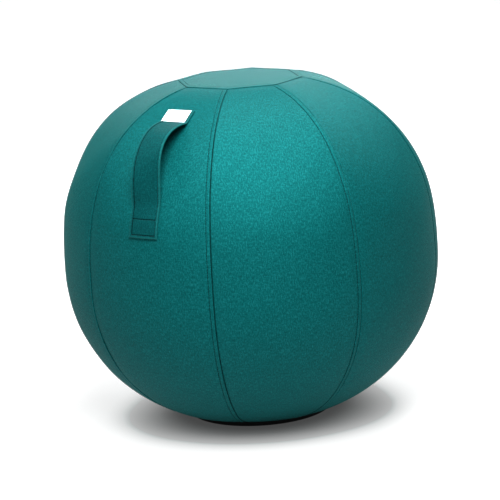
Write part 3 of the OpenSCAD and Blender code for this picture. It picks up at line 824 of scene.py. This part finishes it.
# %% The strap's cloth
STRAP_STITCH = 5.2 * MM
END_STITCH = 5.5 * MM
STRAP_ROUND, ROUND_CUT = 1.3 * MM, 0.985
STRAP_EDGE_UP, EDGE_RAMP = 0.9 * MM, 1.2 * MM
LINE_DEEP, CROSSING_DEEP = 0.8 * MM, 1.2
# How strongly shade is painted into the dip along the strap's stitches
LINE_SHADE, STRAP_DARK = 0.9, 0.1
SIDE_LINE, CROSS_LINE = 1.1 * MM, 1.5 * MM
# A painted highlight: the strap's folded edges, outside their stitches, are painted lighter
EDGE_HIGHLIGHT, EDGE_HIGHLIGHT_IN, EDGE_HIGHLIGHT_RAMP = 0.22, 0.8 * MM, 2.5 * MM
STRAP_STEP, SUPPORT = 2.0 * MM, 0.03 * MM
FINE_ROWS = np.array((-1.4, -.9, -.45, 0, .45, .9, 1.4)) * MM
END_ROWS = np.array((2.2, 1.3, .75, .35, .1, 0)) * MM
half_cols = np.array((
    0, .1, .35, .75, 1.3, 2.2, 3.4, 4.2, 4.8, 5.2, 5.6, 6.2, 7, 8.5, 10.5, 13, 17, 22)) * MM
strap_x = np.concatenate((-STRAP_W / 2 + half_cols, [0.0], (STRAP_W / 2 - half_cols)[::-1]))
STRAP_SHADES = ("#004143", "#005658", "#087173")
strap_cloth = woven("melange_strap", STRAP_SHADES)


def stitch_lines(s, x):
    """1 on the strap's rows of stitches, 0 away from them"""
    to_side, to_end = STRAP_W / 2 - np.abs(x) - STRAP_STITCH, STRAP_END - s - END_STITCH
    in_side, in_end = to_side > -MM / 2, to_end > -MM / 2
    sides = ease(1 - np.abs(to_side) / SIDE_LINE) * in_end
    end = ease(1 - np.abs(to_end) / CROSS_LINE) * in_side
    return sides + end + ease(1 - np.abs(s - STRAP_SEWN) / CROSS_LINE) * (in_side & in_end)


def strap_section(s, x):
    """Heights of the strap's upper and lower faces above the panel"""
    inset, to_end = STRAP_W / 2 - np.abs(x), STRAP_END - s
    near = np.minimum(inset, to_end)
    full = np.sqrt(1 - np.clip(1 - near / STRAP_ROUND, 0, ROUND_CUT) ** 2)
    side_fold = ease((STRAP_STITCH + MM / 2 - inset) / EDGE_RAMP)
    end_fold = ease((END_STITCH + MM / 2 - to_end) / EDGE_RAMP)
    dip = np.minimum(stitch_lines(s, x), CROSSING_DEEP) * LINE_DEEP
    thick = STRAP_T + STRAP_EDGE_UP * np.clip(side_fold + end_fold, 0, 1) - dip
    middle = STRAP_GAP + STRAP_T / 2
    return middle + (thick - STRAP_T / 2) * full, middle - STRAP_T / 2 * full


def strap_rows(s_from, s_to):
    """Rows 2 mm apart, finer at the stitches and the end. A support row just inside each cut
    keeps the cut's own faces from tilting the shading"""
    even = np.arange(s_from, s_to, STRAP_STEP)
    cuts = (s_from + SUPPORT, s_to - SUPPORT, s_to)
    fine = [at + FINE_ROWS for at in (STRAP_SEWN, STRAP_END - END_STITCH)]
    s = np.concatenate([even, cuts, *fine, STRAP_END - END_ROWS])
    return np.unique(np.round(s[(s >= s_from) & (s <= s_to)], 5))[:, None]


def strap_half(name, s_from, s_to, replaced):
    """One half of the strap, between two distances down the panel"""
    s = strap_rows(s_from, s_to)
    x = strap_x[None, :] + 0 * s
    s = s + 0 * x
    upper, lower = strap_section(s, x)
    outer, inner = on_strap(s, x, upper), on_strap(s, x, lower)
    edge = np.minimum(STRAP_W / 2 - np.abs(x), STRAP_END - s)
    # Painted highlight on the folded edges outside the stitches, painted shade along the stitches
    edge_highlight = EDGE_HIGHLIGHT * ease((STRAP_STITCH - EDGE_HIGHLIGHT_IN - edge) / EDGE_HIGHLIGHT_RAMP)
    deep = np.maximum(LINE_SHADE * np.minimum(stitch_lines(s, x), 1), STRAP_DARK) - edge_highlight
    made = closed_grid(name, outer, inner, np.stack((x, s), -1), strap_cloth, deep)
    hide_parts(*replaced)
    return made


def mid_point(s):
    """A point on the middle line under the strap as a plain list"""
    return [float(c) for c in on_strap(np.array([s]), np.array([0.0]), 0.0)[0]]


TURN_FROM, TURN_FULL = STRAP_HELD, 168.0 * MM
BACK_FROM, BACK_FULL = 206.0 * MM, STRAP_BOX
strap_upper = strap_half("strap_upper", STRAP_TOP, MEET, ["strap_top_end", "handle_strap"])
strap_lower = strap_half("strap_lower", MEET, STRAP_END, ["strap_low_end"])
mid_point(TURN_FROM)
mid_point(TURN_FULL)
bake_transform(strap_upper)
mid_point(BACK_FROM)
mid_point(BACK_FULL)
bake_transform(strap_lower)
print("strap:", round((STRAP_END - STRAP_TOP) / MM), "mm long,", round(STRAP_W / MM), "mm wide")

# %% The strap's stitches


def strap_row(s, x):
    """A path of stitches through points of the strap"""
    s, x = s + 0 * x, x + 0 * s
    up = strap_section(s, x)[0]
    return with_normals(lambda s, more: on_strap(s, x, up + more), s)


line = STRAP_W / 2 - STRAP_STITCH
across = np.arange(-line, line, MM)
upper_rows = [strap_row(np.arange(STRAP_HELD + MM, MEET, MM), side) for side in (-line, line)]
lower_rows = [strap_row(np.arange(MEET, STRAP_END - END_STITCH, MM), side) for side in (-line, line)]
box_rows = [strap_row(s, across) for s in (STRAP_SEWN, STRAP_END - END_STITCH)]
upper_stitches = sewn("strap_upper_stitches", upper_rows, None)
mid_point(TURN_FROM)
mid_point(TURN_FULL)
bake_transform(upper_stitches)
lower_stitches = sewn("strap_lower_stitches", lower_rows + box_rows, None)
mid_point(BACK_FROM)
mid_point(BACK_FULL)
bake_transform(lower_stitches)
print("strap stitches:", len(upper_rows + lower_rows + box_rows), "rows")

# %% [markdown]
# The label is a blank piece of white satin ribbon, sewn down over the strap's upper end.
# It could be a white patch in the strap's texture. It is a sheet of its own, because it
# reaches past the strap's end, and its edges and the dip along its stitches catch the light.

# %% The label
LABEL_T = 0.6 * MM
LABEL_TOP = 79.3 * MM
LABEL_LEN = 31.0 * MM
LABEL_W = 50.0 * MM
LABEL_LEFT = -28.2 * MM
LABEL_STITCH, LABEL_LINE, LABEL_DIP = 1.8 * MM, 0.8 * MM, 0.25 * MM
LABEL_PUFF, PUFF_REACH, LABEL_ROUND = 0.18 * MM, 3.0 * MM, 0.6 * MM
LABEL_RIPPLE, LABEL_WAVES, WAVE_SLANT, LABEL_SEED = 0.12 * MM, (0.017, 0.029), 0.3, 4
LABEL_GAP, LABEL_LOOSE, LABEL_STEP = 0.1 * MM, 0.15 * MM, 1.2 * MM


def label_height(s):
    """Height of the label's underside above the panel: on the strap, and down past its end"""
    over = ease((s - STRAP_TOP) / LABEL_STEP + 0.5)
    return STRAP_GAP + LABEL_GAP + (STRAP_T + LABEL_LOOSE) * over


def even_cols(wide, count):
    """Places across a width, crowded at both ends"""
    ends = np.array((0, 0.1, 0.4)) * MM
    return np.concatenate((ends, np.linspace(0.9 * MM, wide - 0.9 * MM, count), wide - ends[::-1]))


def label():
    """The label, a little puffed up inside its line of stitches"""
    s, x = LABEL_TOP + even_cols(LABEL_LEN, 27), LABEL_LEFT + even_cols(LABEL_W, 30)
    s, x = s[:, None] + 0 * x, x[None, :] + 0 * s[:, None]
    sides = np.minimum(x - LABEL_LEFT, LABEL_LEFT + LABEL_W - x)
    inset = np.minimum(sides, np.minimum(s - LABEL_TOP, LABEL_TOP + LABEL_LEN - s))
    ripple = LABEL_RIPPLE * wave(x + WAVE_SLANT * s, LABEL_WAVES, LABEL_SEED)
    puff = LABEL_PUFF * ease(inset / PUFF_REACH) + ripple
    dip = LABEL_DIP * ease(1 - np.abs(inset - LABEL_STITCH) / LABEL_LINE)
    low = label_height(s)
    high = low + LABEL_T * ease(0.5 + inset / LABEL_ROUND) + puff - dip
    outer, inner = on_strap(s, x, high), on_strap(s, x, low)
    made = closed_grid("blank_label", outer, inner, np.stack((x, s), -1), satin)
    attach(made, "cover")
    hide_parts("label")
    return made


made = label()
print("label:", len(made.data.polygons), "faces")

# %% [markdown]
# Each half of the zip is a woven tape with a cord along its inner edge, which carries the
# teeth. The teeth, the stops and the slider are rigid, so they are the frame's own pieces.
# From afar a flat ribbon would do for a tape. The cord is modelled too, because it lies right
# beside the teeth and gives the zip its thickness.

# %% The zip tapes
TAPE_IN = 3.1 * MM
TAPE_T = 0.6 * MM
TAPE_DEPTH = 2.3 * MM
TAPE_SPARE = math.radians(0.4)
TAPE_ROWS = 110
TAPE_COLS = np.concatenate((np.linspace(0, 1.4, 8), (1.8, 2.6, 3.6, 5, 7, 9.1, 9.5))) * MM
CORD_R = 0.7 * MM
zip_out = np.array((math.cos(ZIP_TURN), math.sin(ZIP_TURN), 0))
zip_left = np.array((math.sin(ZIP_TURN), -math.cos(ZIP_TURN), 0))


def on_zip(a, x, depth):
    """A point at angle a below the girth, x to the zip's left and depth under the cover"""
    r = LOW_ARC_R - depth
    out = (ARC_C + r * np.cos(a))[..., None] * zip_out + x[..., None] * zip_left
    return out + (GIRTH_Z - r * np.sin(a))[..., None] * np.array((0, 0, 1.0))


def tape(side, name, node):
    """One tape, to the zip's left if side is 1 and to its right if side is -1"""
    a = np.linspace(ZIP_A1 + TAPE_SPARE, ZIP_A0 - TAPE_SPARE, TAPE_ROWS)[:, None]
    cord = CORD_R * np.sqrt(np.clip(1 - ((TAPE_COLS - CORD_R) / CORD_R) ** 2, 0, 1))
    thick = np.maximum(cord, TAPE_T / 2)[None, :] + 0 * a
    across = (TAPE_IN + TAPE_COLS)[None, :] * side + 0 * a
    a = a + 0 * across
    middle = TAPE_DEPTH + TAPE_T / 2
    outer, inner = on_zip(a, across, middle - thick), on_zip(a, across, middle + thick)
    flat = np.stack((across, a * LOW_ARC_R), -1)
    if side < 0:
        outer, inner, flat = outer[:, ::-1], inner[:, ::-1], flat[:, ::-1]
    made = closed_grid(name, outer, inner, flat, zip_cloth)
    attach(made, "cover")
    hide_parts(node)
    return made


for side, name in ((1, "left"), (-1, "right")):
    made = tape(side, "zip_tape_cloth_" + name, "zip_tape_" + name)
    print(made.name, len(made.data.polygons), "faces")

# %% [markdown]
# The photo is a product picture, cut out on white. Three things give that white here. The
# view's curve leaves dark and middle tones as they are and takes everything above 0.7 to
# white. The floor glows by itself, as a light table does, but its glow is painted weak under
# the ball: a painted shadow to stand on, which also keeps the ball's underside dark. And one
# of the lights in the next step shines only on the floor behind. The world is nearly black,
# so that the lights and the floor's glow alone form the ball.

# %% View, world and floor
WORLD_STRENGTH = 0.03
CURVE_POINTS = ((0.47, 0.47), (0.54, 0.68))
WHITE_POINT = (0.70, 1.0)
FLOOR_HALF = 30.0
# Painted shadow: within these distances of the ball the floor's glow is made weaker
SHADE_FROM, SHADE_TO = 0.13, 0.28
GLOW_UNDER, GLOW_AROUND = 0.06, 0.5

world = bpy.data.worlds.new("studio")
world.use_nodes = True
world.node_tree.nodes.clear()
sky = add(world.node_tree, "ShaderNodeBackground", {"Color": (1, 1, 1, 1), "Strength": WORLD_STRENGTH})
add(world.node_tree, "ShaderNodeOutputWorld", {"Surface": sky.outputs[0]})
bpy.context.scene.world = world
view = bpy.context.scene.view_settings
view.view_transform = "Standard"
view.use_curve_mapping = True
white = view.curve_mapping.curves[3]
for level, shown in CURVE_POINTS:
    white.points.new(level, shown)
white.points[-1].location = WHITE_POINT
for point in white.points:
    point.handle_type = "VECTOR"
view.curve_mapping.update()

corners = [(x * FLOOR_HALF, y * FLOOR_HALF, 0) for x, y in ((-1, -1), (1, -1), (1, 1), (-1, 1))]
floor_mesh = bpy.data.meshes.new("floor")
floor_mesh.from_pydata(corners, [], [(0, 1, 2, 3)])
floor = bpy.data.objects.new("floor", floor_mesh)
bpy.context.scene.collection.objects.link(floor)
floor_paint, tree, surface = new_material("pale_floor", **{
    "Base Color": linear("#7c7c7c"), "Roughness": 0.9, "Emission Color": (1, 1, 1, 1)})
place = add(tree, "ShaderNodeTexCoord").outputs["Object"]
out_from_ball = add(tree, "ShaderNodeVectorMath", {0: place}, operation="LENGTH").outputs["Value"]
glow = add(tree, "ShaderNodeMapRange", {
    "Value": out_from_ball, "From Min": SHADE_FROM, "From Max": SHADE_TO,
    "To Min": GLOW_UNDER, "To Max": GLOW_AROUND}, interpolation_type="SMOOTHSTEP").outputs[0]
tree.links.new(glow, surface.inputs["Emission Strength"])
floor_mesh.materials.append(floor_paint)
print("floor glows", GLOW_UNDER, "under the ball and", GLOW_AROUND, "around it")

# %% [markdown]
# The main light is a soft box above the camera's side of the ball. It makes the broad satin
# glow on the upper half. Two boxes high on the left and right light the side panels, one
# more at the back right and a long low one behind brighten the edges, and a wide panel above
# the floor behind the ball makes the background white. Each box's strength is given as its
# radiance, because that stays true when its size changes.

# %% Lights
BACKDROP_BACK, BACKDROP_UP = 4.2, 1.5


def soft_box(name, place, wide, long, glow, spread=180):
    """A soft light of that size and radiance, placed by a matrix; spread is its beam's angle"""
    data = bpy.data.lights.new(name, "AREA")
    data.shape = "RECTANGLE"
    data.size, data.size_y = wide, long
    data.energy = glow * math.pi * wide * long
    data.spread = math.radians(spread)
    light = bpy.data.objects.new(name, data)
    light.matrix_world = place
    bpy.context.scene.collection.objects.link(light)
    print(name, round(data.energy, 1), "W")


def facing_ball(turn, rise, far):
    """The matrix of a light seen from the ball at those angles, the turn counted from the camera"""
    spot = around(CAMERA_TURN + math.radians(turn), math.radians(rise), far)
    return aimed(spot, MIDDLE)


def facing_floor(back, up):
    """The matrix of a light behind the ball and above its girth that shines straight down"""
    spot = around(CAMERA_TURN + math.pi, math.atan2(up, back), math.hypot(up, back))
    return Matrix.Translation(spot) @ Matrix.Rotation(CAMERA_TURN, 4, "Z")


soft_box("key_above", facing_ball(-3, 51, 1.7), 0.9, 1.0, 13.5)
soft_box("side_left", facing_ball(-110, 62, 2.0), 0.9, 0.9, 5.6)
soft_box("side_right", facing_ball(108, 66, 2.0), 0.9, 0.9, 8.2)
soft_box("back_glow", facing_ball(180, 19, 2.4), 1.8, 0.5, 9.0)
soft_box("back_right", facing_ball(145, 48, 2.2), 0.9, 0.9, 7.0)
soft_box("background", facing_floor(BACKDROP_BACK, BACKDROP_UP), 3.2, 5.0, 1.0, 60)
